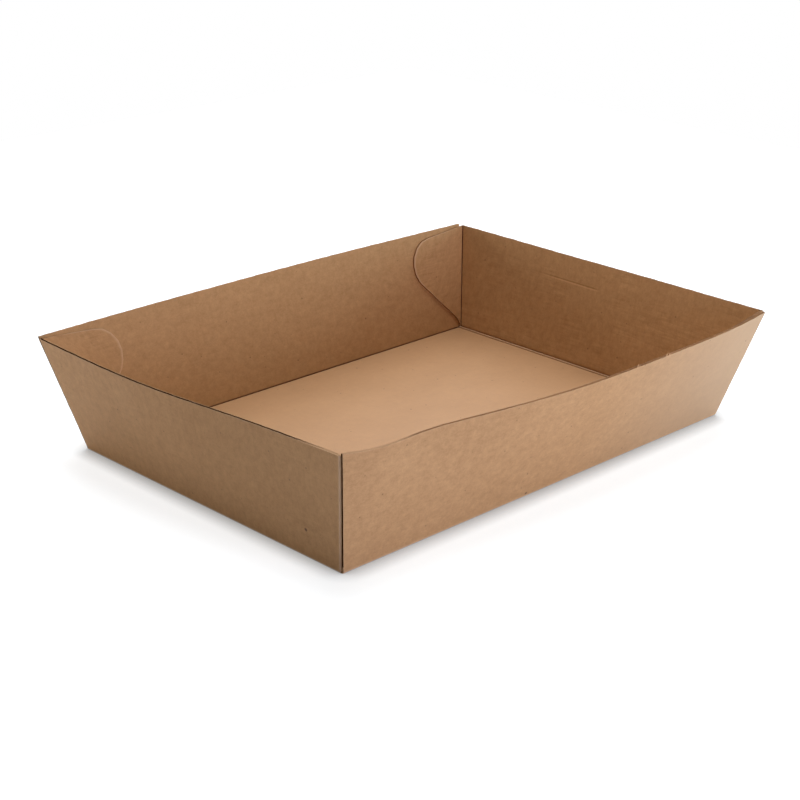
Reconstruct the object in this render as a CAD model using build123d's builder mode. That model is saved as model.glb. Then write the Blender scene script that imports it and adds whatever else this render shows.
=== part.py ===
from build123d import *
from math import asin, cos, sin, sqrt, tan
import os

# Open tray box folded from one blank of thin corrugated board.
# Four walls lean outward from a flat base. Each end wall carries a rounded tab at both ends. The
# tabs are folded round the corners and glued to the inside of the long walls, so that the tray is
# one piece. Millimetres, +Z up, origin on the underside at the middle of the base.
# The walls run anticlockwise from above: front (-Y), right (+X), back (+Y), left (-X).

# Board and base panel, fold to fold
BOARD = 1.6
BASE_LENGTH = 360.0
BASE_WIDTH = 250.0
BASE_CORNER = 1.0  # relief at each corner of the base panel, where the folds meet
FOLD_RADIUS = 1.4  # outside of a fold

# Walls, fold to rim, measured up the slope at their two ends
END_DEPTH = 80.0
FRONT_DEPTHS = (81.5, 79.4)  # glued a little crooked: lower at its right end
BACK_DEPTHS = (81.2, 81.0)
LONG_CROWN = 1.5  # the long rims rise this much more towards the middle

# The cut ends of the long walls stop short of the corner: at the foot, and at the two ends of the rim
FOOT_GAP = 0.9
FRONT_RIM_GAPS = (0.6, 0.4)
BACK_RIM_GAPS = (4.0, 0.4)

# How far each rim stands out beyond the base, by share of its length
CORNER_SPREAD = 20.0
TIGHT_SPREAD = 12.0  # one corner was glued tighter than the rest
FRONT_RIM = {
    0: TIGHT_SPREAD,
    0.06: 15.9,
    0.15: 16.7,  # nearly straight along the tab, then bowed
    0.25: 20.2,
    0.5: 28.0,
    0.75: 27.2,
    0.92: 23.8,
    1: CORNER_SPREAD,
}
RIGHT_RIM = {0: CORNER_SPREAD, 1: CORNER_SPREAD}
BACK_RIM = {0: CORNER_SPREAD, 0.25: 21.5, 0.5: 23.0, 0.75: 21.5, 1: CORNER_SPREAD}
LEFT_RIM = {0: CORNER_SPREAD, 0.25: 21.4, 0.5: 19.4, 0.75: 13.6, 1: TIGHT_SPREAD}

# Glue tabs: a round ear whose two straight edges run back to the corner fold
TAB_RADIUS = 19.5
TAB_REACH = 54.5  # from the corner fold to the tip of the ear
TAB_CENTRE_HEIGHT = 55.0
TAB_FOOT = 1.6  # the corner fold of the tab starts this far above the table
TAB_KINK = (6.0, 9.6)  # up to here the lower edge is steeper: distance from the fold, and height
TAB_SPRING = 5.0  # height at which the rest of the lower edge would meet the fold
TAB_SINK = 0.2  # the tab beds into the wall it is glued to

# Score lines pressed into the floor along the four folds
SCORE_WIDTH = 1.4
SCORE_DEPTH = 0.4

# Worked out from the values above
LEAN = asin(CORNER_SPREAD / END_DEPTH)
LEVEL_BOARD = BOARD / cos(LEAN)  # board thickness of a wall, measured level
TAB_TOP = END_DEPTH * cos(LEAN)  # level with the rim of the end wall
LOFT_TOP = 90.0  # the walls are drawn this high, then cut to their rims
CUT_REACH = 60.0


def rim_points(half_length, depths, crown, spreads):
    """Rim of a wall at the given shares of its length: x along the wall, y inward, z up.

    Board does not stretch, so where the rim stands further out it also sits lower.
    """
    points = []
    for share, spread in spreads.items():
        along = (half_length + spreads[1]) * share - (half_length + spreads[0]) * (1 - share)
        slope = depths[0] + (depths[1] - depths[0]) * share + 4 * crown * share * (1 - share)
        sideways = CORNER_SPREAD**2 - spread**2 if share in (0, 1) else 0
        points.append(Vector(along, -spread, sqrt(slope**2 + sideways - spread**2)))
    return points


def strip(row, outer_inset, inner_inset, gaps):
    """Closed outline of a wall's section: the row of points, drawn at two distances inward."""
    ends = (gaps[0],) + (0,) * (len(row) - 2) + (-gaps[1],)
    bowed = max(p.Y for p in row) - min(p.Y for p in row) > 0.01
    sides = []
    for inset in (outer_inset, inner_inset):
        points = [(p.X + shift, p.Y + inset) for p, shift in zip(row, ends)]
        sides.append(Spline(*points) if bowed else Line(points[0], points[-1]))
    Line(sides[0] @ 0, sides[1] @ 0)
    Line(sides[0] @ 1, sides[1] @ 1)


def leaning_slab(plane, half_length, rim, outer_inset, inner_inset, foot_gap, rim_gaps):
    """Ruled slab between a straight fold on the base and a bowed line above the rim."""
    rim_length = rim[-1].X - rim[0].X
    foot = [Vector(half_length * (2 * (r.X - rim[0].X) / rim_length - 1), 0, 0) for r in rim]
    head = [f + (r - f) * (LOFT_TOP / r.Z) for f, r in zip(foot, rim)]
    head_gaps = [
        foot_gap + (gap - foot_gap) * LOFT_TOP / corner.Z
        for gap, corner in zip(rim_gaps, (rim[0], rim[-1]))
    ]
    with BuildPart() as slab:
        for level, row, gaps in ((0, foot, (foot_gap, foot_gap)), (LOFT_TOP, head, head_gaps)):
            with BuildSketch(plane.offset(level)):
                with BuildLine():
                    strip(row, outer_inset, inner_inset, gaps)
                make_face()
        loft(ruled=True)
    return slab.part


def rise_plane(plane):
    """Upright plane through the rim corners of a wall, facing outward."""
    return Plane(plane.origin, x_dir=plane.x_dir, z_dir=-plane.y_dir).offset(CORNER_SPREAD)


def board_normal(plane):
    """Direction out of the leaning outer face of a wall."""
    return plane.y_dir * -cos(LEAN) - plane.z_dir * sin(LEAN)


def make_wall(plane, half_length, rim, foot_gap, rim_gaps, fold_count):
    """One wall with its rounded outside folds, cut square to the board along its rim."""
    with BuildPart() as wall:
        add(leaning_slab(plane, half_length, rim, 0, LEVEL_BOARD, foot_gap, rim_gaps))
        outer_face = wall.faces().sort_by(SortBy.AREA)[-2:].sort_by_distance((0, 0, 0))[-1]
        fillet(outer_face.edges().sort_by(Axis.Z)[:fold_count], radius=FOLD_RADIUS)
        with BuildSketch(rise_plane(plane)):
            with BuildLine():
                crest = Spline(*[(p.X, p.Z - (p.Y + CORNER_SPREAD) * tan(LEAN)) for p in rim])
                start, end = crest @ 0, crest @ 1
                Polyline(
                    start,
                    (start.X - CORNER_SPREAD, start.Y),
                    (start.X - CORNER_SPREAD, 2 * LOFT_TOP),
                    (end.X + CORNER_SPREAD, 2 * LOFT_TOP),
                    (end.X + CORNER_SPREAD, end.Y),
                    end,
                )
            make_face()
        extrude(amount=CUT_REACH, dir=board_normal(plane), both=True, mode=Mode.SUBTRACT)
    return wall.part


def make_tab(plane, half_length, rim, side):
    """The tab that lines one end of a long wall: a round ear on a fold along the corner."""
    corner = rim[0] if side < 0 else rim[-1]
    slant = (abs(corner.X) - half_length) / corner.Z
    ear_centre = half_length + slant * TAB_CENTRE_HEIGHT - TAB_REACH + TAB_RADIUS
    lining = (LEVEL_BOARD - TAB_SINK, 2 * LEVEL_BOARD)
    corner_gap = LEVEL_BOARD / 2
    foot, spring, top = [(side * (half_length + slant * z), z) for z in (TAB_FOOT, TAB_SPRING, TAB_TOP)]
    kink = (side * (half_length + slant * TAB_KINK[1] - TAB_KINK[0]), TAB_KINK[1])
    with BuildPart() as tab:
        add(leaning_slab(plane, half_length, rim, *lining, corner_gap, (corner_gap, corner_gap)))
        with BuildSketch(rise_plane(plane)):
            with BuildLine():
                Line(spring, top)
                CenterArc((side * ear_centre, TAB_CENTRE_HEIGHT), TAB_RADIUS, 0, 360)
            make_hull()
            with BuildLine():
                Polyline(foot, kink, spring, close=True)
            make_face()
        extrude(amount=CUT_REACH, dir=board_normal(plane), both=True, mode=Mode.INTERSECT)
    return tab.part


# Base edge of each wall: x along the wall, y inward, z up
half_length, half_width = BASE_LENGTH / 2, BASE_WIDTH / 2
front_plane = Plane((0, -half_width, 0), x_dir=(1, 0, 0))
right_plane = Plane((half_length, 0, 0), x_dir=(0, 1, 0))
back_plane = Plane((0, half_width, 0), x_dir=(-1, 0, 0))
left_plane = Plane((-half_length, 0, 0), x_dir=(0, -1, 0))

pieces = []

# Long walls, each lined at both ends by the tabs of the end walls
long_walls = (
    (front_plane, FRONT_RIM, FRONT_DEPTHS, FRONT_RIM_GAPS),
    (back_plane, BACK_RIM, BACK_DEPTHS, BACK_RIM_GAPS),
)
for plane, spreads, depths, rim_gaps in long_walls:
    rim = rim_points(half_length, depths, LONG_CROWN, spreads)
    pieces.append(make_wall(plane, half_length, rim, FOOT_GAP, rim_gaps, fold_count=1))
    pieces += [make_tab(plane, half_length, rim, side) for side in (-1, 1)]

# End walls, folded at the base and at both corners, between the long walls
end_inset = LEVEL_BOARD - TAB_SINK
for plane, spreads in ((right_plane, RIGHT_RIM), (left_plane, LEFT_RIM)):
    rim = rim_points(half_width, (END_DEPTH, END_DEPTH), 0, spreads)
    pieces.append(make_wall(plane, half_width, rim, end_inset, (end_inset, end_inset), fold_count=3))

with BuildPart() as tray:
    # Base panel, up to the inside of the rounded folds
    with BuildSketch():
        RectangleRounded(BASE_LENGTH - 2 * FOLD_RADIUS, BASE_WIDTH - 2 * FOLD_RADIUS, BASE_CORNER)
    extrude(amount=BOARD)
    add(pieces)
    # Score lines at the foot of the walls
    foot_inset = LEVEL_BOARD - BOARD * tan(LEAN)
    with BuildSketch(Plane.XY.offset(BOARD)):
        Rectangle(BASE_LENGTH - 2 * foot_inset, BASE_WIDTH - 2 * foot_inset)
        offset(amount=-SCORE_WIDTH, kind=Kind.INTERSECTION, mode=Mode.SUBTRACT)
    extrude(amount=-SCORE_DEPTH, mode=Mode.SUBTRACT)

tray.part.label = "tray"
os.makedirs("parts", exist_ok=True)
export_step(tray.part, "parts/tray.step")
print("solids", len(tray.solids()), "volume", round(tray.part.volume), tray.part.bounding_box().size)
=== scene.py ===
# %% [markdown]
# # A tray folded from one sheet of corrugated board
# The object is an open kraft tray. It is cut from a single flat blank, scored, folded up and glued
# at four rounded corner tabs. The lesson follows the maker: draw the flat blank, fold it, show the
# fluted inside of the board wherever a knife has cut it, then give the paper its finish.
#
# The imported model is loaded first. It is the measure for everything below, so its box is kept.

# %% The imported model
import math
import bmesh
import bpy
import numpy as np
from mathutils import Matrix, Vector


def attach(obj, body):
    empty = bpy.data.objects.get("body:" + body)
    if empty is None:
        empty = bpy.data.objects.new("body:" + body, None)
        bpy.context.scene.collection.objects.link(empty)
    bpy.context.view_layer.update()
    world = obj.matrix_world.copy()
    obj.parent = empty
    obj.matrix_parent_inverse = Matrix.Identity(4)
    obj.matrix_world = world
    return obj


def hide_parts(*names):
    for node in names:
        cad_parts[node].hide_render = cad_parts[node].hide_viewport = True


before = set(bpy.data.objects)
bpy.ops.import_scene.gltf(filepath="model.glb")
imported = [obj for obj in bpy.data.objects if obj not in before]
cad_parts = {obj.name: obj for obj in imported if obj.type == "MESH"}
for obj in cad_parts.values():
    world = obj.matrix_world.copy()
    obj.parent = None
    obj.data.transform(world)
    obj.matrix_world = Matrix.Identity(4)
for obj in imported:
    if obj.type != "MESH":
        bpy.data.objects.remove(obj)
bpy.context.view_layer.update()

# %% [markdown]
# ## The sizes of the tray
# The solid model was made from a few sizes, and the same ones are repeated here in metres. A wall
# is known by how far its rim stands out beyond the base, in millimetres, by share of its length.
# One corner was glued tighter than the other three, which is why the rims of the two walls that
# meet there swing outward along their length.

# %% Sizes in metres
MM = 0.001
BOARD = 1.6 * MM
HALF_LENGTH = 180 * MM
HALF_WIDTH = 125 * MM
FOLD_RADIUS = 1.4 * MM
END_DEPTH = 80 * MM
FRONT_DEPTHS = np.array([81.5, 79.4]) * MM
BACK_DEPTHS = np.array([81.2, 81.0]) * MM
LONG_CROWN = 1.5 * MM
FOOT_GAP = 0.9 * MM
FRONT_RIM_GAPS = np.array([0.6, 0.4]) * MM
BACK_RIM_GAPS = np.array([4.0, 0.4]) * MM
CORNER_SPREAD = 20 * MM
FRONT_RIM = {0: 12, 0.06: 15.9, 0.15: 16.7, 0.25: 20.2, 0.5: 28, 0.75: 27.2, 0.92: 23.8, 1: 20}
RIGHT_RIM = {0: 20, 1: 20}
BACK_RIM = {0: 20, 0.25: 21.5, 0.5: 23, 0.75: 21.5, 1: 20}
LEFT_RIM = {0: 20, 0.25: 21.4, 0.5: 19.4, 0.75: 13.6, 1: 12}
LEAN = math.asin(CORNER_SPREAD / END_DEPTH)
LEVEL_BOARD = BOARD / math.cos(LEAN)
UP = np.array([0.0, 0.0, 1.0])
print("lean of the walls", round(math.degrees(LEAN), 1), "degrees")

# %% [markdown]
# ## A wall as a ruled sheet
# Each wall is straight at its foot and bowed at its rim, so every line up the wall is straight:
# a ruled surface. Stretching a grid between the two lines is simpler than bending a flat mesh,
# and it cannot leave the folds. Board does not stretch, so a rim that stands further out sits
# lower. Between its points a rim bends as a thin batten would, which is a natural cubic spline.
# A wall also sways by a fraction of a millimetre, as board does when its flutes have been pressed.

# %% The leaning walls
SWAY = 0.25 * MM
SWAY_ALONG, SWAY_UP = 11, 4


def batten(stations, values):
    """The curve of a thin batten through the points: a natural cubic spline."""
    gaps, last = np.diff(stations), len(stations) - 1
    rows, loads = np.eye(last + 1), np.zeros(last + 1)
    slopes = np.diff(values) / gaps
    for k in range(1, last):
        rows[k, k - 1 : k + 2] = gaps[k - 1], 2 * (gaps[k - 1] + gaps[k]), gaps[k]
        loads[k] = 6 * (slopes[k] - slopes[k - 1])
    bend = np.linalg.solve(rows, loads)

    def at(share):
        k = np.clip(np.searchsorted(stations, share) - 1, 0, last - 1)
        before, after = (stations[k + 1] - share) / gaps[k], (share - stations[k]) / gaps[k]
        curve = (before**3 - before) * bend[k] + (after**3 - after) * bend[k + 1]
        return before * values[k] + after * values[k + 1] + curve * gaps[k] ** 2 / 6

    return at


class LeaningWall:
    """Outer face of a wall: share runs 0 to 1 along its fold, climb 0 to 1 from fold to rim."""

    def __init__(self, along, outward, half, reach, depths, crown, rim):
        self.along, self.outward = along, outward
        self.half, self.reach, self.depth = half, reach, np.mean(depths)
        share, spread = np.array(list(rim)), np.array(list(rim.values())) * MM
        self.spreads = spread
        self.across = batten(share, (half + spread[-1]) * share - (half + spread[0]) * (1 - share))
        self.spread = batten(share, spread)
        slope = depths[0] * (1 - share) + depths[1] * share + 4 * crown * share * (1 - share)
        sideways = np.where((share == 0) | (share == 1), CORNER_SPREAD**2 - spread**2, 0)
        self.rim_height = batten(share, np.sqrt(slope**2 + sideways - spread**2))

    def length(self, climb):
        """Length of the wall at a given climb."""
        return 2 * self.half + (self.spreads[0] + self.spreads[-1]) * climb

    def inward_normal(self, share):
        """Unit normal on the inside of the leaning face."""
        out, height = self.spread(share), self.rim_height(share)
        slope = np.hypot(out, height)[..., None]
        return (height[..., None] * -self.outward + out[..., None] * UP) / slope

    def point(self, share, climb):
        """Place on the outer face, before any fold is rounded."""
        foot = self.half * (2 * share - 1)
        across, out, height = self.across(share), self.spread(share), self.rim_height(share)
        sway = np.sin(math.pi * share) * climb * np.sin(SWAY_ALONG * share + SWAY_UP * climb)
        u = foot + (across - foot) * climb
        v = self.reach + out * climb + SWAY * sway
        return u[..., None] * self.along + v[..., None] * self.outward + (height * climb)[..., None] * UP


X, Y = np.array([1.0, 0, 0]), np.array([0, 1.0, 0])
front = LeaningWall(X, -Y, HALF_LENGTH, HALF_WIDTH, FRONT_DEPTHS, LONG_CROWN, FRONT_RIM)
back = LeaningWall(-X, Y, HALF_LENGTH, HALF_WIDTH, BACK_DEPTHS, LONG_CROWN, BACK_RIM)
right = LeaningWall(Y, X, HALF_WIDTH, HALF_LENGTH, (END_DEPTH, END_DEPTH), 0, RIGHT_RIM)
left = LeaningWall(-Y, -X, HALF_WIDTH, HALF_LENGTH, (END_DEPTH, END_DEPTH), 0, LEFT_RIM)
for name, wall in (("front", front), ("right", right), ("back", back), ("left", left)):
    middle = wall.point(np.array([0.5]), np.array([1.0]))[0]
    print(name, "rim at mid length", np.round(middle, 4))

# %% [markdown]
# ## What a score does to the board
# Along a scored line the outer paper bends in a small radius. The inner paper has too much length.
# Across the flutes it sinks into one deep line. Along the flutes, at the foot of the end walls, it
# buckles into a bead between two pressed lines. Each is written as a shift along the line that
# halves the fold, by the distance from the fold, and comes with a mask for the colour: painted shade
# along the deep line and along the pressed lines of a bead, wider than the lines themselves, and less
# where a bead is raised. The inner paper is also shorter than the outer one, so distances there start
# at the inner corner, as `inner_distance` gives them.

# %% Folds
SCORE_REACH = 2.6 * MM
LINE_DEPTH, LINE_WIDTH, CREASE_SHADE_WIDTH = 0.75 * MM, 0.55 * MM, 1.0 * MM
BEAD_HEIGHT, BEAD_WIDTH = 0.75 * MM, 0.95 * MM
PRESS_PLACE, PRESS_DEPTH, PRESS_WIDTH = 2.1 * MM, 0.5 * MM, 0.5 * MM
BASE_TURN = math.pi / 2 - LEAN
CORNER_TURN = math.pi / 2


def outer_rounding(distance, turn):
    """How far the outer paper stays inside a sharp fold."""
    reach = FOLD_RADIUS * math.tan(turn / 2)
    depth = FOLD_RADIUS * (1 / math.cos(turn / 2) - 1)
    return depth * np.clip(1 - distance / reach, 0, 1) ** 2


def deep_line(distance):
    """Inner paper sunk into one line along the fold: its shift, and a mask of painted shade along it."""
    sunk = np.exp(-((distance / LINE_WIDTH) ** 2))
    return -LINE_DEPTH * sunk, np.exp(-((distance / CREASE_SHADE_WIDTH) ** 2))


def bead(distance):
    """Inner paper raised along the fold, between two pressed lines: its shift, and a mask of painted shade
    on the pressed lines. Raised paper counts as rubbed, so there the mask goes below zero and makes it
    paler.
    """
    raised = np.exp(-((distance / BEAD_WIDTH) ** 2))
    press_and_shade = np.exp(-(((distance - PRESS_PLACE) / PRESS_WIDTH) ** 2))
    return BEAD_HEIGHT * raised - PRESS_DEPTH * press_and_shade, press_and_shade - 0.5 * raised


def inner_distance(distance, turn):
    """Distance from the outer fold, moved so that it starts at the inner corner."""
    start = BOARD * math.tan(turn / 2)
    squeezed = start + distance * (SCORE_REACH - start) / SCORE_REACH
    return np.where(distance < SCORE_REACH, squeezed, distance)


def base_bisector(outward):
    """Direction that halves the fold between the base and a wall, pointing into the tray."""
    direction = -outward * (1 - math.sin(LEAN)) + UP * math.cos(LEAN)
    return direction / np.linalg.norm(direction)


print("bead stands", round(bead(np.array(0.0))[0] / MM, 2), "mm above the fold")

# %% [markdown]
# ## The flat blank
# On the flat sheet every point has its own place, so that place can name the point: panels that
# share a fold then share its vertices without any searching. Each point carries two positions in
# space, one on the outer paper and one on the inner, and two masks for the colour: wear and a painted
# highlight where the outer paper folds, painted shade where the inner paper is pressed. Panels are
# added as grids of points.

# %% A sheet that remembers its flat layout
class Blank:
    """Points and cells of the folded sheet, named by where they lie on the flat blank."""

    def __init__(self):
        self.index, self.cells = {}, []
        self.flat, self.outer, self.inner, self.worn, self.press_and_shade = [], [], [], [], []

    def point(self, flat, outer, inner, worn, press_and_shade):
        key = (round(flat[0] * 1e6), round(flat[1] * 1e6))
        if key not in self.index:
            self.index[key] = len(self.flat)
            self.flat.append(flat)
            self.outer.append(outer)
            self.inner.append(inner)
            self.worn.append(worn)
            self.press_and_shade.append(press_and_shade)
        return self.index[key]

    def panel(self, *grids):
        """Adds grids of flat place, outer and inner position, the wear-and-highlight mask and the
        press-and-shade mask, and their cells.
        """
        rows, columns = grids[-1].shape
        ids = [[self.point(*[g[i, j] for g in grids]) for j in range(columns)] for i in range(rows)]
        ids = np.array(ids)
        for i in range(rows - 1):
            for j in range(columns - 1):
                ring = [ids[i, j], ids[i, j + 1], ids[i + 1, j + 1], ids[i + 1, j]]
                ring = [v for k, v in enumerate(ring) if v != ring[k - 1]]
                if len(ring) > 2:
                    self.cells.append(ring if self.turns_left(ring) else ring[::-1])

    def turns_left(self, ring):
        """True where the cell runs anticlockwise on the flat blank."""
        place = np.array([self.flat[v] for v in ring])
        after = np.roll(place, -1, axis=0)
        return np.sum(place[:, 0] * after[:, 1] - place[:, 1] * after[:, 0]) > 0


blank = Blank()
print("empty blank ready")

# %% [markdown]
# ## The base panel
# The base is a plain rectangle. Its grid is close beside the four folds, where the paper bends
# within a millimetre, and wide in the middle, where nothing happens.

# %% Base panel
END_STEPS = np.array([0, 0.3, 0.6, FOOT_GAP / MM, 1.3, 1.75, 2.2, 2.8, 3.6, 6.0]) * MM
LONG_STEPS = np.array([0, 0.3, 0.7, 1.2, LEVEL_BOARD / MM, 2.0, 2.4, 2.8, 3.3, 4.2, 6.0]) * MM
COARSE_STEP = 3.2 * MM
WEAR_AND_HIGHLIGHT_REACH = 1.1 * MM


def ruled_places(half, steps):
    """Grid lines across a panel: close at both folds, even between them."""
    count = round(2 * (half - steps[-1]) / COARSE_STEP)
    even = np.linspace(-half + steps[-1], half - steps[-1], count + 1)
    return np.concatenate([-half + steps[:-1], even, half - steps[:-1][::-1]])


def worn_mark(distance):
    """1 on a fold, fading to 0 beside it."""
    return np.exp(-((distance / WEAR_AND_HIGHLIGHT_REACH) ** 2))


x_lines = ruled_places(HALF_LENGTH, END_STEPS)
y_lines = ruled_places(HALF_WIDTH, LONG_STEPS)
x, y = np.meshgrid(x_lines, y_lines)
from_end, from_long = HALF_LENGTH - abs(x), HALF_WIDTH - abs(y)
base_flat = np.stack([x, y], -1)
base_outer = np.stack([x, y, 0 * x], -1)
inner_x = np.sign(x) * (HALF_LENGTH - inner_distance(from_end, BASE_TURN))
inner_y = np.sign(y) * (HALF_WIDTH - inner_distance(from_long, BASE_TURN))
base_inner = np.stack([inner_x, inner_y, 0 * x + BOARD], -1)
base_press_and_shade = 0 * x
for wall, distance, place, score in (
    (left, from_end, x, bead),
    (right, from_end, x, bead),
    (front, from_long, y, deep_line),
    (back, from_long, y, deep_line),
):
    own_side = (place * wall.outward.sum() > 0)[..., None]
    bisector = base_bisector(wall.outward)
    shift, press_and_shade = score(distance)
    base_outer += own_side * outer_rounding(distance, BASE_TURN)[..., None] * bisector
    base_inner += own_side * shift[..., None] * bisector
    base_press_and_shade += own_side[..., 0] * press_and_shade
base_worn = np.maximum(worn_mark(from_end), worn_mark(from_long))
blank.panel(base_flat, base_outer, base_inner, base_worn, base_press_and_shade)
print("base panel", len(blank.cells), "cells")

# %% [markdown]
# ## The four walls
# A wall starts on the grid line of the base fold and climbs to its rim. The cut ends of the long
# walls stop a little short of the corner. The end walls go on round the corner as tabs, so their
# last grid lines bend in the same way as the fold at the base.

# %% Walls
FOLD_ROWS = np.array([0, 0.35, 0.7, 1.05, 1.5, 2.0, 2.6, 3.5]) * MM
MIDDLE_START = 5.0 * MM
RIM_ROWS = np.array([2.6, 1.3, 0.5, 0]) * MM
middle_rows = np.linspace(MIDDLE_START, END_DEPTH - RIM_ROWS[0], 20)[:-1]
wall_rows = np.concatenate([FOLD_ROWS, middle_rows, END_DEPTH - RIM_ROWS])
RAGGED = 0.1 * MM
RAGGED_WAVES = (610, 233)


def raise_wall(wall, places, rim_gaps, score):
    """Adds one wall to the blank, on the grid lines of the base that it grows from."""
    shares = (places + wall.half) / (2 * wall.half)
    share, height = np.meshgrid(shares, wall_rows)
    climb = height / END_DEPTH
    if rim_gaps is not None:
        ends = [k + (1 - 2 * k) * gap / wall.length(1) for k, gap in enumerate(rim_gaps)]
        part = (share - shares[0]) / (shares[-1] - shares[0])
        share = share + climb * ((ends[0] - shares[0]) * (1 - part) + (ends[1] - shares[-1]) * part)
    walked = shares * 2 * wall.half
    ragged = np.sin(walked * RAGGED_WAVES[0]) * np.sin(walked * RAGGED_WAVES[1] + 1)
    climb[-1] += RAGGED / END_DEPTH * ragged
    distance = height * wall.depth / END_DEPTH
    inner_climb = climb + (inner_distance(distance, BASE_TURN) - distance) / wall.depth
    outer, inner_share, worn = wall.point(share, climb), share, worn_mark(distance)
    shift, press_and_shade = score(distance)
    bend, sunk = np.zeros_like(outer), np.zeros_like(outer)
    if rim_gaps is None:
        run = wall.length(climb)
        for side, fold in ((1, shares[0]), (-1, shares[-1])):
            away = side * (share - fold) * run
            near = away < SCORE_REACH
            bisector = (side * wall.along - wall.outward) / math.sqrt(2)
            bend += outer_rounding(away, CORNER_TURN)[..., None] * bisector
            corner_shift, corner_shade = deep_line(away)
            sunk += (near * corner_shift)[..., None] * bisector
            moved = (inner_distance(away, CORNER_TURN) - away) * side / run
            inner_share = inner_share + np.where(near, moved, 0)
            worn = np.maximum(worn, worn_mark(away))
            press_and_shade = press_and_shade + corner_shade
    bisector = base_bisector(wall.outward)
    inner = wall.point(inner_share, inner_climb) + BOARD * wall.inward_normal(share) + sunk
    outer = outer + bend + outer_rounding(distance, BASE_TURN)[..., None] * bisector
    inner = inner + shift[..., None] * bisector
    across = wall.half * (2 * share - 1) * (1 - climb) + wall.across(share) * climb
    flat = across[..., None] * wall.along + (wall.reach + distance)[..., None] * wall.outward
    blank.panel(flat[..., :2], outer, inner, worn, press_and_shade)


long_places = x_lines[abs(x_lines) <= HALF_LENGTH - FOOT_GAP + 1e-9]
end_places = y_lines[abs(y_lines) <= HALF_WIDTH - LEVEL_BOARD + 1e-9]
raise_wall(front, long_places, FRONT_RIM_GAPS, deep_line)
raise_wall(back, -long_places[::-1], BACK_RIM_GAPS, deep_line)
raise_wall(right, end_places, None, bead)
raise_wall(left, -end_places[::-1], None, bead)
print("walls added,", len(blank.cells), "cells so far")

# %% [markdown]
# ## The glue tabs
# A tab is a round ear. Its two straight edges touch the circle and run back to the corner fold.
# It lies on the inside of a long wall with only a film of glue between. The grid is a narrow strip
# at the fold, then a fan that opens from the strip to the outline.

# %% Tabs
TAB_RADIUS = 19.5 * MM
TAB_REACH = 54.5 * MM
TAB_CENTRE_HEIGHT = 55 * MM
TAB_FOOT = FOLD_ROWS[1]
TAB_KINK = np.array([6.0, 9.6]) * MM
GLUE = 0.08 * MM
STRIP_STEPS = np.array([0, 0.3, 0.65, 1.05, 1.5, 2.0, 2.6]) * MM
FAN_STEPS = np.append(np.linspace(0, 0.96, 15), 1)


def touch_angle(point, centre, turn):
    """Angle on the circle where a line from the point touches it."""
    gap = point - centre
    return math.atan2(gap[1], gap[0]) + turn * math.acos(TAB_RADIUS / np.linalg.norm(gap))


def tab_outline(slant, foot, top, stops):
    """Points on the ear's edge at the given shares of its length: reach from the fold, and height."""

    def fold(height):
        return np.array([slant * (TAB_CENTRE_HEIGHT - height), height])

    centre = np.array([TAB_REACH - TAB_RADIUS, TAB_CENTRE_HEIGHT])
    kink = fold(TAB_KINK[1]) + np.array([TAB_KINK[0], 0])
    angles = np.linspace(touch_angle(kink, centre, 1), touch_angle(fold(top), centre, -1), 60)
    arc = centre + TAB_RADIUS * np.stack([np.cos(angles), np.sin(angles)], 1)
    edge = np.concatenate([[fold(foot), kink], arc, [fold(top)]])
    edge[:, 0] -= slant * (TAB_CENTRE_HEIGHT - edge[:, 1])
    strip = STRIP_STEPS[-1]
    edge[0] += (edge[1] - edge[0]) * strip / edge[1, 0]
    edge[-1] += (edge[-2] - edge[-1]) * strip / edge[-2, 0]
    walked = np.concatenate([[0], np.cumsum(np.linalg.norm(np.diff(edge, axis=0), axis=1))])
    return np.stack([np.interp(stops * walked[-1], walked, edge[:, k]) for k in (0, 1)], 1)


def fold_tab(long_wall, long_end, end_wall, end_share):
    """Adds the tab that goes from the end wall's corner onto the inside of the long wall."""
    corner_height = end_wall.rim_height(np.array(end_share))
    heights = wall_rows[wall_rows >= TAB_FOOT - 1e-9] / END_DEPTH * corner_height
    slant = long_wall.spreads[-long_end] / corner_height
    share_up = (heights - heights[0]) / (heights[-1] - heights[0])
    outline = tab_outline(slant, heights[0], heights[-1], share_up)
    reach, height = [], []
    for step in STRIP_STEPS:
        portion = step / STRIP_STEPS[-1]
        low = heights[0] + (outline[0, 1] - heights[0]) * portion
        high = heights[-1] + (outline[-1, 1] - heights[-1]) * portion
        reach.append(np.full(len(heights), step))
        height.append(low + (high - low) * share_up)
    for portion in FAN_STEPS[1:]:
        reach.append(reach[len(STRIP_STEPS) - 1] * (1 - portion) + outline[:, 0] * portion)
        height.append(height[len(STRIP_STEPS) - 1] * (1 - portion) + outline[:, 1] * portion)
    reach, height = np.array(reach), np.array(height)
    side = 1 - 2 * long_end

    def place(distance, lift):
        share = np.clip(long_end + side * distance / long_wall.length(0.5), 0, 1)
        level = height - math.sin(LEAN) * BOARD
        climb = level / long_wall.rim_height(share)
        share = long_end + side * distance / long_wall.length(climb)
        return long_wall.point(share, climb) + lift * long_wall.inward_normal(share)

    bisector = (side * long_wall.along - long_wall.outward) / math.sqrt(2)
    outer = place(reach, BOARD + GLUE)
    inner = place(inner_distance(reach, CORNER_TURN), 2 * BOARD + GLUE)
    outer = outer + outer_rounding(reach, CORNER_TURN)[..., None] * bisector
    shift, press_and_shade = deep_line(reach)
    inner = inner + shift[..., None] * bisector
    slope = height / corner_height * END_DEPTH
    risen = slope / END_DEPTH
    along = (end_wall.half - LEVEL_BOARD) * (1 - risen) + risen * tab_fold_end(end_wall, end_share)
    sign = 1 if end_share else -1
    flat = (sign * (along + reach))[..., None] * end_wall.along
    flat = flat + (end_wall.reach + slope)[..., None] * end_wall.outward
    blank.panel(flat[..., :2], outer, inner, worn_mark(reach), press_and_shade)


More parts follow.
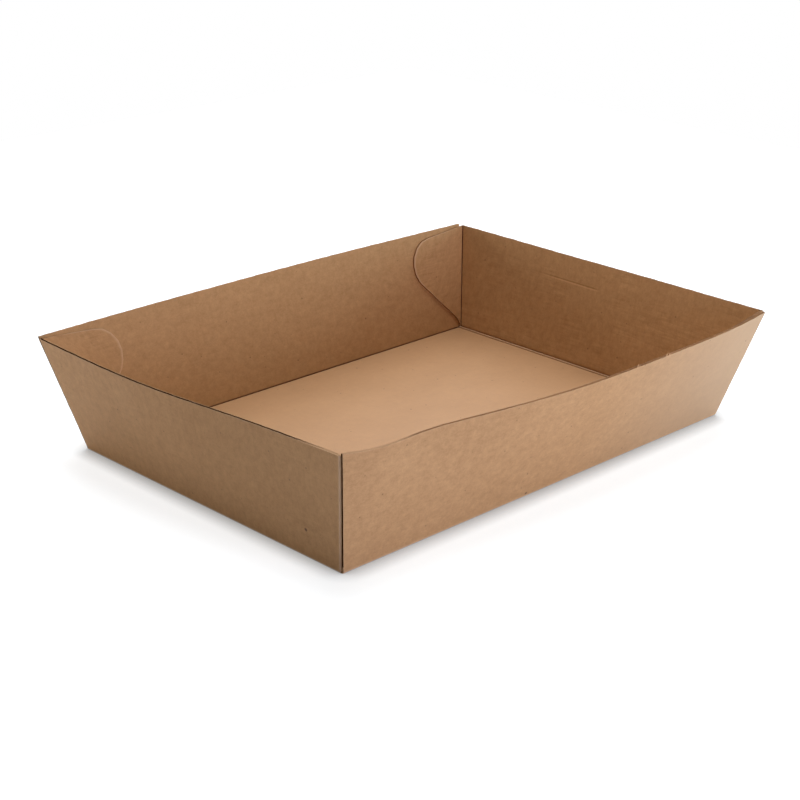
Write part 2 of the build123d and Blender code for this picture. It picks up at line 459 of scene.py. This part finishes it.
def tab_fold_end(end_wall, end_share):
    """Where the corner fold ends on the rim of an end wall, from the middle of the wall."""
    last = (2 * end_wall.half - LEVEL_BOARD) / (2 * end_wall.half)
    share = last if end_share else 1 - last
    return abs(end_wall.across(share))


fold_tab(front, 0, left, 1)
fold_tab(front, 1, right, 0)
fold_tab(back, 0, right, 1)
fold_tab(back, 1, left, 0)
print("tabs added,", len(blank.cells), "cells in the blank")

# %% [markdown]
# ## The cut edge
# Where a knife has gone through corrugated board one sees three papers: two smooth liners and,
# between them, the hollow of the flutes. So the rim of the sheet isn't closed with a flat strip.
# Each liner gets a thin lip, and the space between the lips sinks into the board: deep where the
# cut runs along the flutes and opens one of them, shallow where it crosses them and shows the ends
# of many, and hardly at all round the tabs, where the die has crushed the board. The left rim was
# squeezed shut towards the tight corner, and so were both ends of the right rim. The lips are cut a
# little unevenly.

# %% Lips and hollow along every open edge
LINER = 0.2 * MM
DEEP_HOLLOW = 1.8 * MM
CROSS_HOLLOW = 0.3 * MM
CRUSHED_HOLLOW = 0.15 * MM
LIP_WEAR = 0.12 * MM
HOLLOW_WAVES = (70, 31)
TIGHT_FROM, TIGHT_RUN, TIGHT_END = 140 * MM, 110 * MM, 30 * MM
SQUEEZED = 0.1
WORN_ABOVE = 10 * MM
EDGE_ROWS = 6


def open_edges(cells):
    """Edges that belong to one cell only, with the sheet on their left."""
    uses = {}
    for ring in cells:
        for a, b in zip(ring, ring[1:] + ring[:1]):
            uses.setdefault((min(a, b), max(a, b)), []).append((a, b))
    return [found[0] for found in uses.values() if len(found) == 1]


def into_sheet(blank, rim_edges):
    """For each point of the open edges: how far and which way the hollow goes into the board."""
    flat = np.array(blank.flat)
    middle = (np.array(blank.outer) + np.array(blank.inner)) / 2
    thick = np.array(blank.inner) - np.array(blank.outer)
    centres, cell_count, tangent, crossing = {}, {}, {}, {}
    on_rim = {v for edge in rim_edges for v in edge}
    for ring in blank.cells:
        centre = middle[ring].mean(0)
        for v in on_rim.intersection(ring):
            centres[v] = centres.get(v, 0) + centre - middle[v]
            cell_count[v] = cell_count.get(v, 0) + 1
    for a, b in rim_edges:
        step = (middle[b] - middle[a]) / np.linalg.norm(middle[b] - middle[a])
        way = abs(flat[b, 0] - flat[a, 0]) / np.linalg.norm(flat[b] - flat[a])
        for v in (a, b):
            tangent[v] = tangent.get(v, 0) + step
            crossing[v] = max(crossing.get(v, 0), way)
    inward, depth = {}, {}
    for v in on_rim:
        direction = centres[v]
        for across in (tangent[v], thick[v]):
            across = across / np.linalg.norm(across)
            direction = direction - across * (direction @ across)
        inward[v] = direction / np.linalg.norm(direction)
        waves = [math.sin(flat[v].sum() * wave) for wave in HOLLOW_WAVES]
        whole = 0.75 + 0.25 * waves[0] * waves[1]
        if flat[v, 0] < -HALF_LENGTH - END_DEPTH / 2:
            whole *= np.clip((flat[v, 1] + TIGHT_FROM) / TIGHT_RUN, SQUEEZED, 1)
        if flat[v, 0] > HALF_LENGTH + END_DEPTH / 2:
            whole *= np.clip((HALF_WIDTH - abs(flat[v, 1])) / TIGHT_END, SQUEEZED, 1)
        depth[v] = whole * (CROSS_HOLLOW if crossing[v] > 0.5 else DEEP_HOLLOW)
        beside, beyond = abs(flat[v]) - (HALF_LENGTH, HALF_WIDTH)
        on_tab = max(MM, beyond / 2) < beside < END_DEPTH - 0.5 * MM
        if on_tab or cell_count[v] == 1 or middle[v, 2] < MIDDLE_START:
            depth[v] = CRUSHED_HOLLOW
    return inward, depth


rim_edges = open_edges(blank.cells)
inward, hollow_depth = into_sheet(blank, rim_edges)
print(len(rim_edges), "open edges round the blank")

# %% [markdown]
# ## One closed mesh
# The outer paper, the inner paper and the cut edges become one mesh without holes. Four things are
# stored on its points for the finish: the place on the flat paper, a fold's mask of wear and painted
# highlight outside and of painted shade inside, the nearness of a cut, which makes its edge pale with
# wear and a painted highlight, and how far a cut gapes, which darkens its hollow with painted shade.
# A crushed cut counts as nearer than a clean one, because its paper is bruised further in. The place on
# the paper has the side as its third number, and the two papers are moved apart by a whole number of
# flutes, so that they don't show the same fibres.

# %% The folded sheet as a mesh
FLUTE_PITCH = 3.3 * MM
SIDE_SHIFT = np.array([200 * FLUTE_PITCH, 100 * FLUTE_PITCH])
CLEAN_CUT, CRUSHED_CUT = 0.3, 1.0
LIP_SEED = 4
SHARP_ANGLE = math.radians(40)


def fold_blank(blank):
    """Points, faces and stored values of the closed sheet."""
    count = len(blank.flat)
    flat, outer, inner = np.array(blank.flat), np.array(blank.outer), np.array(blank.inner)
    points = [outer, inner]
    paper = [np.c_[flat, 0 * flat[:, 0]], np.c_[flat + SIDE_SHIFT, 0 * flat[:, 0] + 1]]
    fold = [blank.worn, blank.press_and_shade]
    nearness = np.zeros(count)
    for v, depth in hollow_depth.items():
        nearness[v] = CRUSHED_CUT if depth == CRUSHED_HOLLOW else CLEAN_CUT
    cut = [nearness, nearness]
    gape = [np.zeros(count)] * 2
    faces = [[v for v in reversed(ring)] for ring in blank.cells]
    faces += [[v + count for v in ring] for ring in blank.cells]
    rim = sorted(inward)
    row_start = {v: 2 * count + 4 * k for k, v in enumerate(rim)}
    spread = np.random.default_rng(LIP_SEED).uniform(-1, 1, (len(rim), 2))
    for v, wear in zip(rim, spread):
        wear = wear * (outer[v, 2] > WORN_ABOVE)
        thick = inner[v] - outer[v]
        lip = LINER / np.linalg.norm(thick)
        depth = inward[v] * hollow_depth[v]
        low, high = outer[v] + thick * lip, inner[v] - thick * lip
        points.append([low, low + depth, high + depth, high])
        for side, shift in zip((0, 1), wear * LIP_WEAR):
            points[side][v] = points[side][v] + inward[v] * shift
        paper.append([[*flat[v], 0], [*flat[v], 0.5], [*flat[v], 0.5], [*(flat[v] + SIDE_SHIFT), 1]])
        fold.append([0] * 4)
        cut.append([nearness[v]] * 4)
        gape.append([hollow_depth[v] / DEEP_HOLLOW] * 4)
    hollow = []
    for a, b in rim_edges:
        strips = [[v, *range(row_start[v], row_start[v] + 4), v + count] for v in (a, b)]
        for k in range(EDGE_ROWS - 1):
            if 0 < k < EDGE_ROWS - 2:
                hollow.append(len(faces))
            faces.append([strips[0][k], strips[1][k], strips[1][k + 1], strips[0][k + 1]])
    stored = {"paper": paper, "fold": fold, "cut": cut, "gape": gape}
    return np.concatenate(points), faces, {k: np.concatenate(v) for k, v in stored.items()}, hollow


def join_tray(mesh):
    """Puts a mesh into the scene as part of the tray, in place of the plain solid."""
    piece = bpy.data.objects.new(mesh.name, mesh)
    bpy.context.collection.objects.link(piece)
    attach(piece, "root")
    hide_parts("tray")


points, faces, stored, hollow = fold_blank(blank)
mesh = bpy.data.meshes.new("tray_board")
mesh.from_pydata(points, [], faces)
mesh.validate()
for name, values in stored.items():
    kind, field = ("FLOAT_VECTOR", "vector") if values.ndim == 2 else ("FLOAT", "value")
    attribute = mesh.attributes.new(name, kind, "POINT")
    attribute.data.foreach_set(field, values.astype(np.float32).ravel())
mesh.shade_smooth()
mesh.set_sharp_from_angle(angle=SHARP_ANGLE)
join_tray(mesh)
mesh.calc_loop_triangles()
print("tray board:", len(mesh.loop_triangles), "triangles")

# %% [markdown]
# ## The fluted paper between the liners
# The flutes run across the base from one long wall to the other, so the rims of the long walls cut
# across them and show the wave. A ribbon that follows a sine along the rim is enough: only its edge
# can be seen. It is made thin and closed, so that it is a real piece of paper from every side.

# %% Fluted core in the rims of the long walls
CORE_THICKNESS = 0.2 * MM
CORE_SWING = BOARD / 2 - LINER - CORE_THICKNESS / 2
CORE_SINK = 0.15 * MM
CORE_DEPTH = 1.9 * MM
CORE_END = 1.0 * MM
STEPS_A_FLUTE = 8


def core_ribbon(wall, rim_gaps):
    """Points and faces of the wavy paper in one rim."""
    count = round(2 * wall.half * STEPS_A_FLUTE / FLUTE_PITCH)
    ends = (rim_gaps + CORE_END) / wall.length(1)
    share = np.linspace(ends[0], 1 - ends[1], count)
    across = wall.across(share)
    wave = CORE_SWING * np.sin(2 * math.pi * across / FLUTE_PITCH)
    normal = wall.inward_normal(share)
    rows = []
    for sink in (CORE_SINK, CORE_DEPTH):
        for side in (-0.5, 0.5):
            face = wall.point(share, 1 - sink / wall.depth + 0 * share)
            rows.append(face + (BOARD / 2 + wave + side * CORE_THICKNESS)[:, None] * normal)
    top_out, top_in, low_out, low_in = [np.arange(count) + k * count for k in range(4)]
    made = []
    for a, b in ((top_out, top_in), (top_in, low_in), (low_in, low_out), (low_out, top_out)):
        made += [[a[k], a[k + 1], b[k + 1], b[k]] for k in range(count - 1)]
    made += [[row[k] for row in (top_out, low_out, low_in, top_in)] for k in (0, count - 1)]
    return np.concatenate(rows), made


core_points, core_faces = [], []
for wall, rim_gaps in ((front, FRONT_RIM_GAPS), (back, BACK_RIM_GAPS)):
    ribbon_points, ribbon_faces = core_ribbon(wall, rim_gaps)
    start = sum(len(p) for p in core_points)
    core_points.append(ribbon_points)
    core_faces += [[v + start for v in face] for face in ribbon_faces]
core_mesh = bpy.data.meshes.new("fluted_core")
core_mesh.from_pydata(np.concatenate(core_points), [], core_faces)
tidy = bmesh.new()
tidy.from_mesh(core_mesh)
bmesh.ops.recalc_face_normals(tidy, faces=tidy.faces)
tidy.to_mesh(core_mesh)
tidy.free()
core_mesh.shade_smooth()
core_mesh.set_sharp_from_angle(angle=SHARP_ANGLE)
join_tray(core_mesh)
print("fluted core:", len(core_mesh.polygons), "faces")

# %% [markdown]
# ## Torn fibres on the front rim
# A blade that is getting dull tears a few fibres of the outer paper instead of cutting them. They
# stand up on the rim as pale splinters a few millimetres long. Hair could make them too, but for
# four splinters a thin pyramid each is enough. Their lengths in millimetres are listed by the share
# of the rim at which they stand.

# %% Torn fibres
FIBRE_LENGTHS = {0.6125: 3.8, 0.6185: 2.0, 0.6905: 4.0, 0.6985: 2.2}
FIBRE_WIDTH = 1.3 * MM
FIBRE_SIDES = [(0, 2, 1), (0, 1, 3), (1, 2, 3), (2, 0, 3)]


def fibre(wall, share, length):
    """Three points in the outer paper at the rim, and a tip above them."""
    step = FIBRE_WIDTH / wall.length(1)
    shares = np.array([share - step / 2, share + step / 2, share, share - step])
    climbs = np.array([1, 1, 1, 1 + length * MM / wall.depth])
    behind = np.array([0, 0, FIBRE_WIDTH / 2, 0])[:, None] * wall.inward_normal(shares)
    return wall.point(shares, climbs) + behind


fibre_points = np.concatenate([fibre(front, share, length) for share, length in FIBRE_LENGTHS.items()])
fibre_faces = [[v + 4 * k for v in side] for k in range(len(FIBRE_LENGTHS)) for side in FIBRE_SIDES]
fibre_mesh = bpy.data.meshes.new("torn_fibres")
fibre_mesh.from_pydata(fibre_points, [], fibre_faces)
join_tray(fibre_mesh)
print("torn fibres:", len(FIBRE_LENGTHS))

# %% [markdown]
# ## Writing a finish as sums
# A material is a net of nodes. Drawing it by hand is quick, but a reader can't follow it, so here a
# socket is wrapped in a small class whose operators add the Math nodes. Everything else, such as a
# noise or a colour mix, comes from one method.

# %% Values and finishes
class Value:
    """An output socket. Arithmetic on it adds Math nodes to its finish."""

    def __init__(self, finish, socket):
        self.finish, self.socket = finish, socket

    def maths(self, operation, left, right):
        return self.finish.node("ShaderNodeMath", {"operation": operation}, {0: left, 1: right})

    def __add__(self, other):
        return self.maths("ADD", self, other)

    def __radd__(self, other):
        return self.maths("ADD", other, self)

    def __sub__(self, other):
        return self.maths("SUBTRACT", self, other)

    def __rsub__(self, other):
        return self.maths("SUBTRACT", other, self)

    def __mul__(self, other):
        return self.maths("MULTIPLY", self, other)

    def __rmul__(self, other):
        return self.maths("MULTIPLY", other, self)

    def __gt__(self, other):
        return self.maths("GREATER_THAN", self, other)

    def __lt__(self, other):
        return self.maths("LESS_THAN", self, other)

    def at_least(self, other):
        return self.maths("MAXIMUM", self, other)

    def __abs__(self):
        return self.maths("ABSOLUTE", self, 0.0)


class Finish:
    """The nodes of a material or of the world, made by one method."""

    def __init__(self, owner):
        self.owner = owner
        owner.use_nodes = True
        self.tree = owner.node_tree

    def node(self, kind, settings, sockets, output=0):
        """Makes a node: settings first, then values or links of its sockets."""
        made = self.tree.nodes.new(kind)
        for name, setting in settings.items():
            setattr(made, name, setting)
        for name, value in sockets.items():
            self.feed(made.inputs[name], value)
        return Value(self, made.outputs[output])

    def feed(self, socket, value):
        if isinstance(value, Value):
            self.tree.links.new(value.socket, socket)
        else:
            socket.default_value = value

    def set(self, node, **sockets):
        """Feeds the sockets of a node that is there from the start."""
        for name, value in sockets.items():
            self.feed(self.tree.nodes[node].inputs[name.replace("_", " ")], value)

    def stored(self, name, output="Fac"):
        return self.node("ShaderNodeAttribute", {"attribute_name": name}, {}, output)

    def vector(self, operation, first, second, output=0):
        return self.node("ShaderNodeVectorMath", {"operation": operation}, {0: first, 1: second}, output)

    def noise(self, vector, factors, detail=2.0, roughness=0.5):
        """Noise about zero, with so many features a metre in each direction."""
        sockets = {"Vector": self.vector("MULTIPLY", vector, factors), "Scale": 1.0}
        sockets |= {"Detail": detail, "Roughness": roughness}
        return self.node("ShaderNodeTexNoise", {}, sockets) - 0.5

    def between(self, value, low, high):
        """0 below low, 1 above high, smooth between."""
        sockets = {"Value": value, "From Min": low, "From Max": high}
        return self.node("ShaderNodeMapRange", {"interpolation_type": "SMOOTHSTEP"}, sockets)

    def spot(self, place, middle, radius):
        """1 at a place on the paper, 0 beyond the radius."""
        return 1 - self.between(self.vector("DISTANCE", place, middle, "Value"), 0.3 * radius, radius)

    def seen(self):
        """1 for rays that show a surface: from the camera, off a gloss or through glass."""
        rays = ("Is Camera Ray", "Is Glossy Ray", "Is Transmission Ray")
        camera, glossy, through = [self.node("ShaderNodeLightPath", {}, {}, ray) for ray in rays]
        return camera + glossy + through > 0.5

    def mix(self, share, first, second):
        return self.node("ShaderNodeMix", {"data_type": "RGBA"}, {0: share, 6: first, 7: second}, 2)


print("finish maker ready")

# %% [markdown]
# ## Kraft liner
# Unbleached kraft paper is a warm brown that isn't even: there are clouds a few centimetres wide,
# a mottle of a few millimetres, fibres and a rare speck of bark. The flutes show through as faint
# broken streaks, most on the end walls and most of all inside them: a slight relief, with painted
# shading of that relief in the colour. A picture of paper would have seams at the folds. Here it is
# all drawn on the flat paper, so that it runs on round the folds as it does on a real blank.
#
# The first cell has the colours and the marks: specks of bark, two of them large, and a crease inside
# the right end wall, drawn only as a painted highlight with a painted shadow above it.

# %% Colours and marks of the paper
KRAFT_DARK = (0.36, 0.185, 0.076, 1)
KRAFT_PALE = (0.64, 0.371, 0.188, 1)
BARK = (0.12, 0.055, 0.025, 1)
PAINTED_SHADE = (0.07, 0.02, 0.004, 1)
PALE_WEAR_AND_HIGHLIGHT = (0.80, 0.56, 0.38, 1)
SHEEN_PALE = (0.52, 0.40, 0.30, 1)
YELLOWED = (0.48, 0.28, 0.0, 1)
LEFT_SPECK = (-0.1996, -0.097, 0)
FRONT_SPECK = (-0.023, -0.1277, 0)
CREASE_START, CREASE_END = np.array([0.2410, 0.0667]), np.array([0.2401, -0.005])
CREASE_WIDTH, CREASE_RISE, CREASE_FADE = 0.9 * MM, 8 * MM, 35 * MM
SPECKS_A_METRE = 70.0
SPECK_SIZE, SPECK_CHANCE, SPECK_SHARE = 0.03, 0.6, 0.6


def paper_marks(finish, place):
    """Specks of bark scattered over the sheet, and the two large ones."""
    cells = {"Vector": finish.vector("MULTIPLY", place, (1, 1, 0)), "Scale": SPECKS_A_METRE}
    flat = {"voronoi_dimensions": "2D"}
    distance = finish.node("ShaderNodeTexVoronoi", flat, cells, "Distance")
    lot = finish.node("ShaderNodeTexVoronoi", flat, cells, "Color")
    chance = finish.node("ShaderNodeSeparateColor", {}, {"Color": lot}, "Red")
    size = finish.node("ShaderNodeSeparateColor", {}, {"Color": lot}, "Green")
    specks = 1 - finish.between(distance - size * SPECK_SIZE, 0.0, SPECK_SIZE)
    specks = specks * finish.between(chance, SPECK_CHANCE, 1.0)
    large = finish.spot(place, LEFT_SPECK, 1.6 * MM) + finish.spot(place, FRONT_SPECK, 1.3 * MM)
    return specks * SPECK_SHARE + large


def crease_light_and_shade(finish, across, along):
    """A long faint crease on the inside of the right end wall, drawn only as a painted highlight line with
    a painted shadow line above it.
    """
    lean = (CREASE_END[0] - CREASE_START[0]) / (CREASE_END[1] - CREASE_START[1])
    off_line = across - CREASE_START[0] - (along - CREASE_START[1]) * lean
    starts = finish.between(along, CREASE_END[1], CREASE_END[1] + CREASE_RISE)
    fades = 1 - finish.between(along, CREASE_START[1] - CREASE_FADE, CREASE_START[1])
    highlight_line = 1 - finish.between(abs(off_line), 0.0, CREASE_WIDTH)
    shadow_line = 1 - finish.between(abs(off_line - 1.2 * CREASE_WIDTH), 0.0, CREASE_WIDTH)
    return starts * fades * (highlight_line - shadow_line)


print("marks of the paper ready")

# %% [markdown]
# ## How the liner wears, with its painted sheen, highlights and shade
# A fold is paler on the outside, from wear and a painted highlight on its rounding, and darker on the
# inside, from painted shade in the crease. A cut is paler than the paper round it, from wear and a
# painted highlight. The right end of the front wall is smoother, and a painted sheen makes it pale.
# Along the right half of the front rim the edge of the inner paper is darkened with painted shade, and
# the edge of the tab behind it is too. The inside of the walls is a touch yellower than the rest. Each
# of these is a mask from the place on the flat paper or from a stored value, and each mixes one more
# colour over the last.

# %% Kraft liner
CLOUDS, MOTTLE, FIBRES, STREAK_SHADING, CREASE_LIGHT_AND_SHADE = 0.3, 1.2, 0.25, 0.8, 0.5
SHEEN_SHARE, YELLOWING, CREASE_SHADE_SHARE, BEAD_RUB, FOLD_WEAR_AND_HIGHLIGHT, CUT_WEAR_AND_HIGHLIGHT, RIM_SHADE_SHARE = 0.4, 0.07, 0.85, 0.9, 0.85, 0.5, 0.65
BASE_ROUGH, WALL_ROUGH, SHEEN_SMOOTHS = 0.3, 0.7, 0.7
PANEL_BLEND, SHEEN_FULL = 3 * MM, 200 * MM
RIM_SHADE_FROM, RIM_SHADE_FULL = -60 * MM, 20 * MM
CLEAN_LIFT = 3.0  # brings the stored value of a clean cut near 1


def kraft_liner():
    finish = Finish(bpy.data.materials.new("kraft_liner"))
    place = finish.stored("paper", "Vector")
    fold, cut = finish.stored("fold"), finish.stored("cut")
    axes = [finish.node("ShaderNodeSeparateXYZ", {}, {"Vector": place}, axis) for axis in "XYZ"]
    inside = axes[2]
    across, along = axes[0] - inside * SIDE_SHIFT[0], axes[1] - inside * SIDE_SHIFT[1]
    beside, beyond = abs(across) - HALF_LENGTH, abs(along) - HALF_WIDTH
    on_end = finish.between(beside - 0.5 * beyond.at_least(0.0), 0.0, PANEL_BLEND)
    on_long = finish.between(beyond - 2 * beside.at_least(0.0), 0.0, PANEL_BLEND)
    on_front = on_long * (along < 0.0)
    # The patch of painted sheen on the outside of the front wall, towards its right end; it is also
    # smoother.
    sheen_patch = finish.between(across, 0.0, SHEEN_FULL) * on_front * (1 - inside)
    # Mask of painted shade: the inner edge along the right half of the front rim, and the cut edge of the
    # tab behind the front wall.
    behind_front = (across > HALF_LENGTH) * (along < -HALF_WIDTH)
    right_half = finish.between(across, RIM_SHADE_FROM, RIM_SHADE_FULL)
    rim_shade = (right_half * on_front * inside * CLEAN_LIFT + behind_front) * cut
    rough = BASE_ROUGH + (on_end + on_long) * WALL_ROUGH * (1 - SHEEN_SMOOTHS * sheen_patch)
    clouds = finish.noise(place, (22, 30, 1), 3.0)
    mottle = finish.noise(place, (150, 180, 1), 3.0, 0.9)
    fibres = finish.noise(place, (1500, 2600, 1), 2.0)
    patches = finish.between(finish.noise(place, (30, 25, 1), 2.0), -0.1, 0.15)
    # Streaks of the flutes: a relief in the bump, and painted shading of it in the colour, strongest inside
    # the end walls.
    streaks = finish.noise(place, (560, 45, 1), 2.0) * patches * (0.15 + on_end * (0.4 + 0.6 * inside))
    tone = clouds * CLOUDS + mottle * rough * MOTTLE + fibres * rough * FIBRES + streaks * STREAK_SHADING
    # The crease as a painted highlight and a painted shadow on the inside.
    tone = tone + crease_light_and_shade(finish, across, along) * inside * CREASE_LIGHT_AND_SHADE
    colour = finish.mix(tone + 0.5, KRAFT_DARK, KRAFT_PALE)
    # Painted sheen: paler towards the right end of the front wall's outside.
    colour = finish.mix(sheen_patch * SHEEN_SHARE, colour, SHEEN_PALE)
    colour = finish.mix(inside * (on_end + on_long) * YELLOWING, colour, YELLOWED)
    colour = finish.mix(paper_marks(finish, place), colour, BARK)
    # Painted shade in the creases of the inner folds; a raised bead is paler, from wear.
    colour = finish.mix(fold * inside * CREASE_SHADE_SHARE, colour, PAINTED_SHADE)
    colour = finish.mix(fold * inside * -BEAD_RUB, colour, PALE_WEAR_AND_HIGHLIGHT)
    # Outer folds paler: wear, with a painted highlight on their rounding.
    colour = finish.mix(fold * (1 - inside) * FOLD_WEAR_AND_HIGHLIGHT, colour, PALE_WEAR_AND_HIGHLIGHT)
    # Cut edges paler: wear, with a painted highlight.
    colour = finish.mix(cut * CUT_WEAR_AND_HIGHLIGHT, colour, PALE_WEAR_AND_HIGHLIGHT)
    # Painted shade on the inner edge of the front rim's right half and on the tab edge behind it.
    colour = finish.mix(rim_shade * RIM_SHADE_SHARE, colour, PAINTED_SHADE)
    relief = {"Height": fibres * 0.3 + mottle * 0.4 + streaks, "Distance": 0.08 * MM, "Strength": 0.6}
    finish.set(
        "Principled BSDF",
        Base_Color=colour,
        Roughness=0.64 + mottle * 0.2,
        Specular_IOR_Level=0.3,
        Normal=finish.node("ShaderNodeBump", {}, relief),
    )
    return finish.owner


liner = kraft_liner()
mesh.materials.append(liner)
fibre_mesh.materials.append(liner)
print("kraft liner:", len(liner.node_tree.nodes), "nodes")

# %% [markdown]
# ## The paper inside the board
# The fluted paper is rougher than the liners, and it sits in shade, which its colour paints in. Its cut
# edge shows as a thin line between the two liners. The line keeps a plain pale colour at the left end of
# the tray, is darker with painted shade along the rest, and darkest with painted shade where a flute
# gapes. It gets its own finish with short broken fibres.

# %% Raw edge
CORE_PLAIN = (0.55, 0.34, 0.19, 1)
CORE_SHADED = (0.34, 0.18, 0.085, 1)
CORE_HOLLOW_SHADE = (0.13, 0.05, 0.017, 1)
PLAIN_END, SHADED_FROM = -148 * MM, -132 * MM


def raw_edge():
    finish = Finish(bpy.data.materials.new("raw_edge"))
    place = finish.node("ShaderNodeTexCoord", {}, {}, "Object")
    fray = finish.noise(place, (900, 900, 900), 3.0)
    across = finish.node("ShaderNodeSeparateXYZ", {}, {"Vector": place}, "X")
    # Painted shade: the plain colour at the left end darkens along the rest of the rim.
    colour = finish.mix(finish.between(across, PLAIN_END, SHADED_FROM), CORE_PLAIN, CORE_SHADED)
    hollow_shade = finish.between(finish.stored("gape") + fray * 0.3, 0.1, 0.45)
    # Painted shade in the hollow where a flute gapes.
    colour = finish.mix(hollow_shade, colour, CORE_HOLLOW_SHADE)
    bump = {"Height": fray, "Distance": 0.1 * MM, "Strength": 0.7}
    finish.set(
        "Principled BSDF",
        Base_Color=colour,
        Roughness=0.9,
        Specular_IOR_Level=0.0,
        Normal=finish.node("ShaderNodeBump", {}, bump),
    )
    return finish.owner


raw = raw_edge()
mesh.materials.append(raw)
core_mesh.materials.append(raw)
for face in hollow:
    mesh.polygons[face].material_index = 1
print(len(hollow), "faces of the hollow edge have the raw finish")

# %% [markdown]
# ## Camera
# The view is the photograph's: from the front left corner, a little above the rim, with a long lens.
# The camera is placed by angles round a point near the middle of the tray, because those are what
# a photographer sets. It leans by less than a degree, as it did by hand.

# %% Camera
AZIMUTH, ELEVATION, ROLL = math.radians(-44.99), math.radians(21.62), math.radians(0.89)
DISTANCE = 1171.09 * MM
AIM = np.array([-34.21, -23.56, 38.92]) * MM
LENS = 80.237

toward_camera = Vector(
    (math.sin(AZIMUTH) * math.cos(ELEVATION), -math.cos(AZIMUTH) * math.cos(ELEVATION), math.sin(ELEVATION))
)
level = Vector((math.cos(AZIMUTH), math.sin(AZIMUTH), 0))
upright = toward_camera.cross(level)
camera_x = level * math.cos(ROLL) + upright * math.sin(ROLL)
camera_y = upright * math.cos(ROLL) - level * math.sin(ROLL)
lens = bpy.data.cameras.new("camera")
lens.sensor_width, lens.lens = 36, LENS
lens.clip_start, lens.clip_end = 0.05, 50
camera = bpy.data.objects.new("camera", lens)
bpy.context.collection.objects.link(camera)
turn = Matrix((camera_x, camera_y, toward_camera)).transposed()
camera.matrix_world = Matrix.Translation(Vector(AIM) + toward_camera * DISTANCE) @ turn.to_4x4()
bpy.context.scene.camera = camera
print("camera at", [round(c, 3) for c in camera.matrix_world.translation])

# %% [markdown]
# ## White table and studio light
# The tray stands on a white table that goes on without an edge. A lamp can't make it evenly white
# without washing out the kraft, so the table gives part of its white itself, only where it is seen,
# and takes the rest from the lamps. Its own white dims close beside the tray, where less of the open
# sky reaches it, so a tight shade lies along the base. To the other light the table is a plain white
# board, which throws some of it back at the walls.

# %% Table
bpy.context.scene.view_settings.view_transform = "Standard"
TABLE_SIZE, TABLE_DROP = 0.9, 0.05 * MM
OWN_WHITE = 0.84
SHADE_REACH = 14 * MM
TABLE_COLOUR = (0.8, 0.8, 0.8, 1)
SEEN_COLOUR = (0.40, 0.43, 0.45, 1)


def white_table():
    finish = Finish(bpy.data.materials.new("white_table"))
    plain = finish.node("ShaderNodeBsdfDiffuse", {}, {"Color": TABLE_COLOUR})
    shown = finish.node("ShaderNodeBsdfDiffuse", {}, {"Color": SEEN_COLOUR})
    open_sky = finish.node("ShaderNodeAmbientOcclusion", {}, {"Distance": SHADE_REACH})
    glow = finish.node("ShaderNodeEmission", {}, {"Color": open_sky, "Strength": OWN_WHITE})
    both = finish.node("ShaderNodeAddShader", {}, {0: shown, 1: glow})
    table = finish.node("ShaderNodeMixShader", {}, {0: finish.seen(), 1: plain, 2: both})
    finish.set("Material Output", Surface=table)
    return finish.owner


table_mesh = bpy.data.meshes.new("table")
corners = [(x * TABLE_SIZE, y * TABLE_SIZE, 0) for x, y in ((-1, -1), (1, -1), (1, 1), (-1, 1))]
table_mesh.from_pydata(corners, [], [(0, 1, 2, 3)])
table = bpy.data.objects.new("table", table_mesh)
table.location.z = -TABLE_DROP
bpy.context.collection.objects.link(table)
table_mesh.materials.append(white_table())
print("table", TABLE_SIZE * 2, "m wide")

# %% [markdown]
# ## Lamps
# Five soft lamps stand for a small studio. A very wide one behind the tray at the right lights it from
# above, and a small one overhead lifts the floor of the tray. Three low ones at the front, the right
# and the left light the walls by different amounts, so that the corners stand out. Their tints differ
# slightly, as lamps do. Round it all is a white that is only seen and gives no light.

# %% Lamps
LAMP_AIM = Vector((0, 0, 0.03))
WHITE, COOL, ROSY, WARM = (1, 1, 1), (0.68, 1, 1), (0.87, 0.85, 1), (1, 0.99, 0.9)


def soft_lamp(name, place, size, watts, tint):
    lamp = bpy.data.lights.new(name, "AREA")
    lamp.shape, lamp.size, lamp.energy, lamp.color = "DISK", size, watts, tint
    holder = bpy.data.objects.new(name, lamp)
    holder.location = place
    holder.rotation_mode = "QUATERNION"
    holder.rotation_quaternion = (LAMP_AIM - Vector(place)).to_track_quat("-Z", "Y")
    bpy.context.collection.objects.link(holder)


def white_surround():
    """White where the camera looks past the table, and no light."""
    room = Finish(bpy.data.worlds.new("room"))
    unlit = room.node("ShaderNodeBackground", {}, {"Color": (1, 1, 1, 1), "Strength": 0.0})
    shown = room.node("ShaderNodeBackground", {}, {"Color": (1, 1, 1, 1), "Strength": 1.0})
    surround = room.node("ShaderNodeMixShader", {}, {0: room.seen(), 1: unlit, 2: shown})
    room.set("World Output", Surface=surround)
    return room.owner


soft_lamp("top_lamp", (0.0, 0.0, 1.5), 0.4, 5.5, WHITE)
soft_lamp("back_lamp", (0.7, 0.7, 1.1), 1.8, 26.9, WHITE)
soft_lamp("right_lamp", (0.75, -0.75, 0.15), 0.4, 2.8, COOL)
soft_lamp("front_lamp", (0.1, -1.2, 0.2), 0.4, 7.3, ROSY)
soft_lamp("left_lamp", (-1.2, 0.9, 0.2), 0.4, 4.6, WARM)
bpy.context.scene.world = white_surround()
